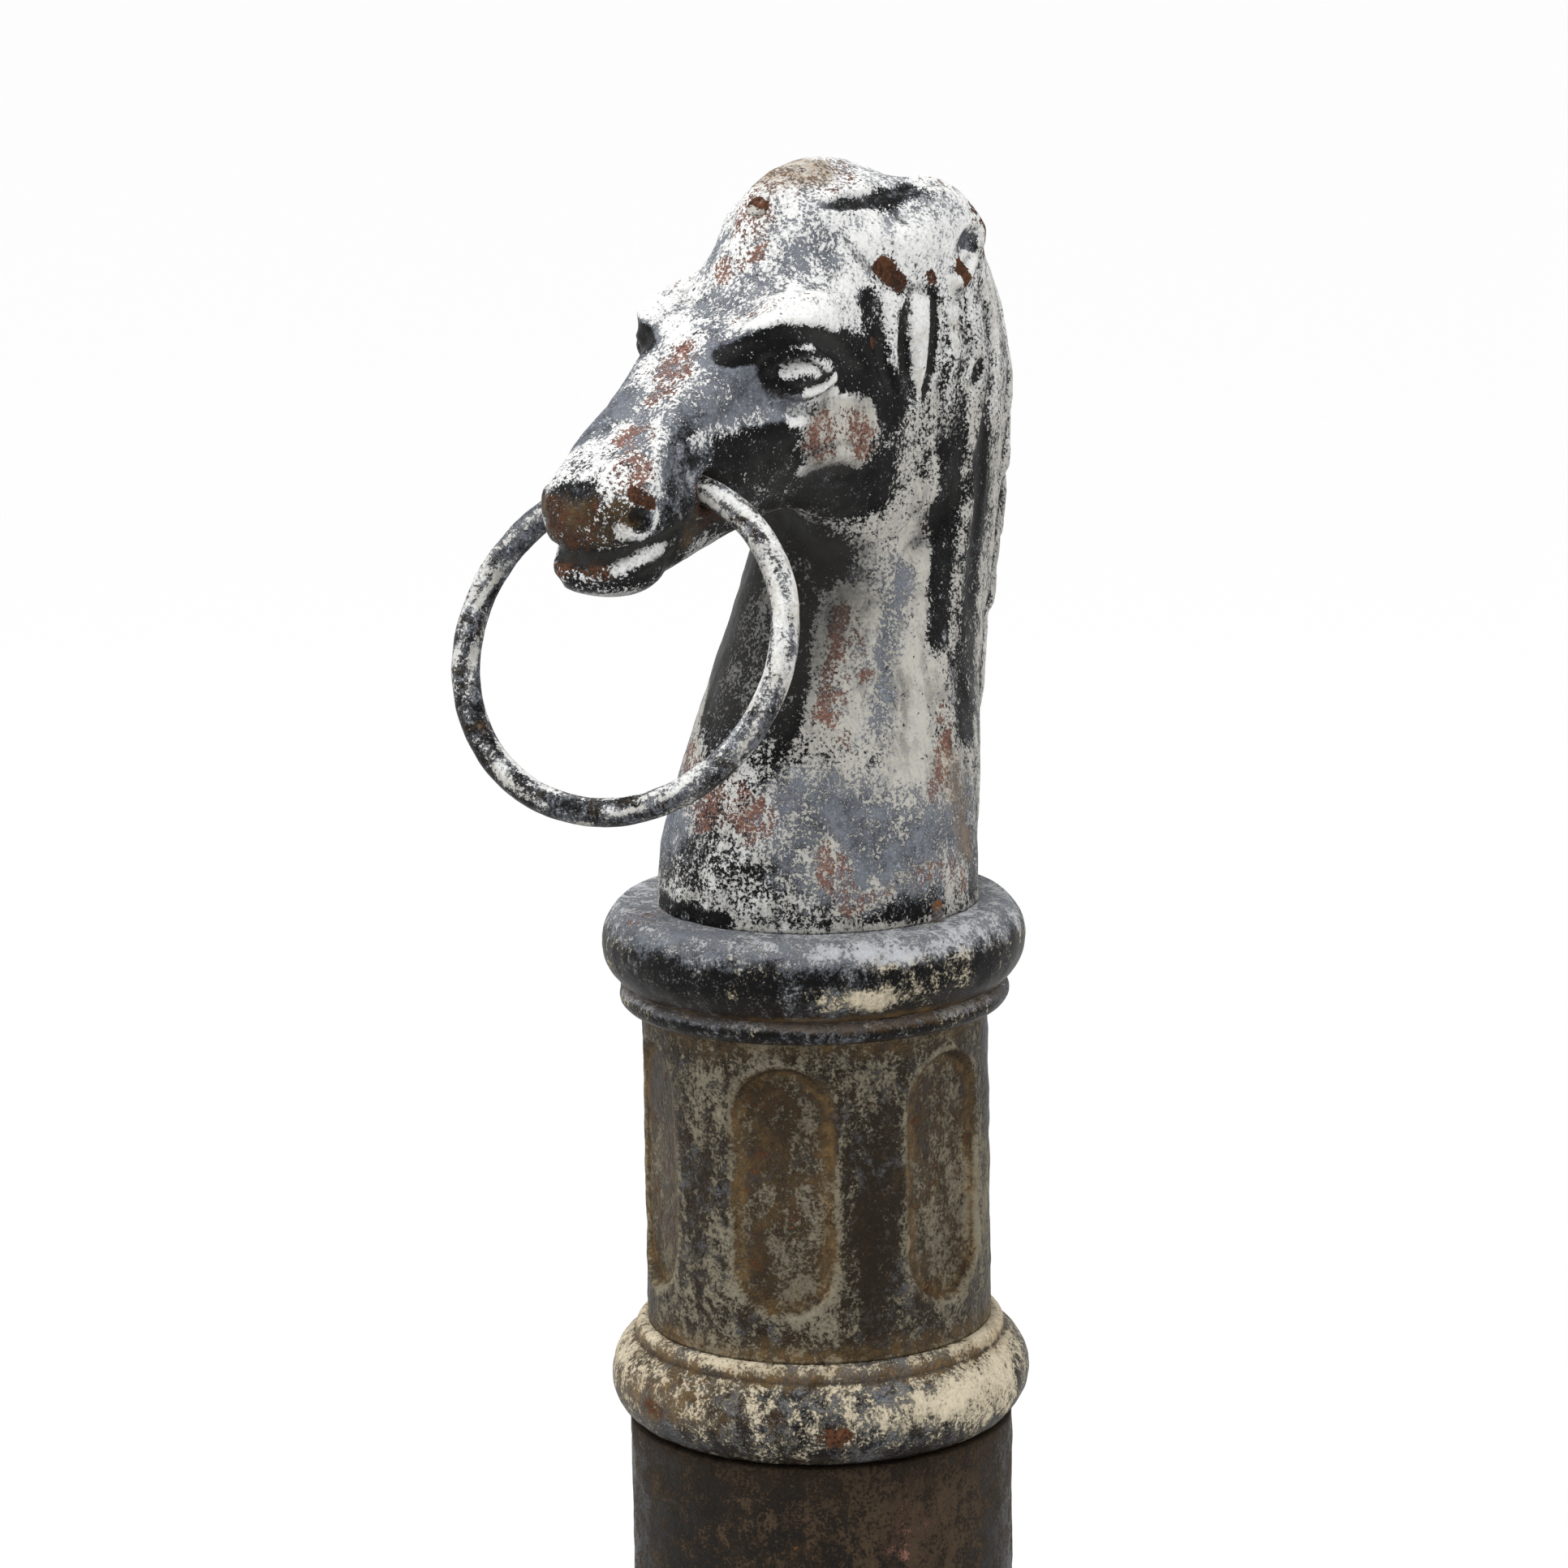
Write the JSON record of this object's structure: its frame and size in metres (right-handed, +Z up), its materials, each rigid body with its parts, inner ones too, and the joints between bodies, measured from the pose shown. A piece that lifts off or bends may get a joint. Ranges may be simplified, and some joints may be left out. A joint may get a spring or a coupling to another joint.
{
  "type": "hitching post",
  "caption": "Cast-iron hitching post: a round column with a fluted drum between moulded collars, a horse's head and neck on top, and a loose tether ring through the mouth.",
  "frame": {"origin": "centre of the base flange's underside, on the column's axis", "axes": "+Z up along the column, -Y the way the horse faces, +X the horse's left"},
  "size_m": [0.3, 0.3024, 1.1499],
  "materials": {
    "post_iron": "dark brown weathered paint over rusty cast iron",
    "drum_iron": "olive-grey worn paint, cream streaks and rust in the hollows",
    "head_iron": "chalky white paint flaking off slate grey and black, red-brown primer patches",
    "ring_iron": "worn grey and white paint on forged bar, rust specks",
    "fastener_steel": "dull steel"
  },
  "bodies": {
    "post": {"base_flange": "post_iron", "base_moulding": "post_iron", "shaft": "post_iron", "lower_collar": "post_iron", "fluted_drum": "drum_iron", "upper_collar": "drum_iron", "horse_head": "head_iron", "core_plug": "head_iron", "tie_rod": "fastener_steel", "rod_washer": "fastener_steel", "rod_nut": "fastener_steel", "locating_dowels": "fastener_steel", "flange_screws": "fastener_steel"},
    "ring": {"tether_ring": "ring_iron"}
  },
  "joints": [
    {"name": "ring_swing", "type": "hinge", "parent": "post", "child": "ring", "pos_m": [0, -0.0853, 1.0347], "axis": [-0.9563, -0.2924, 0], "range_deg": [-38, 177]}
  ]
}
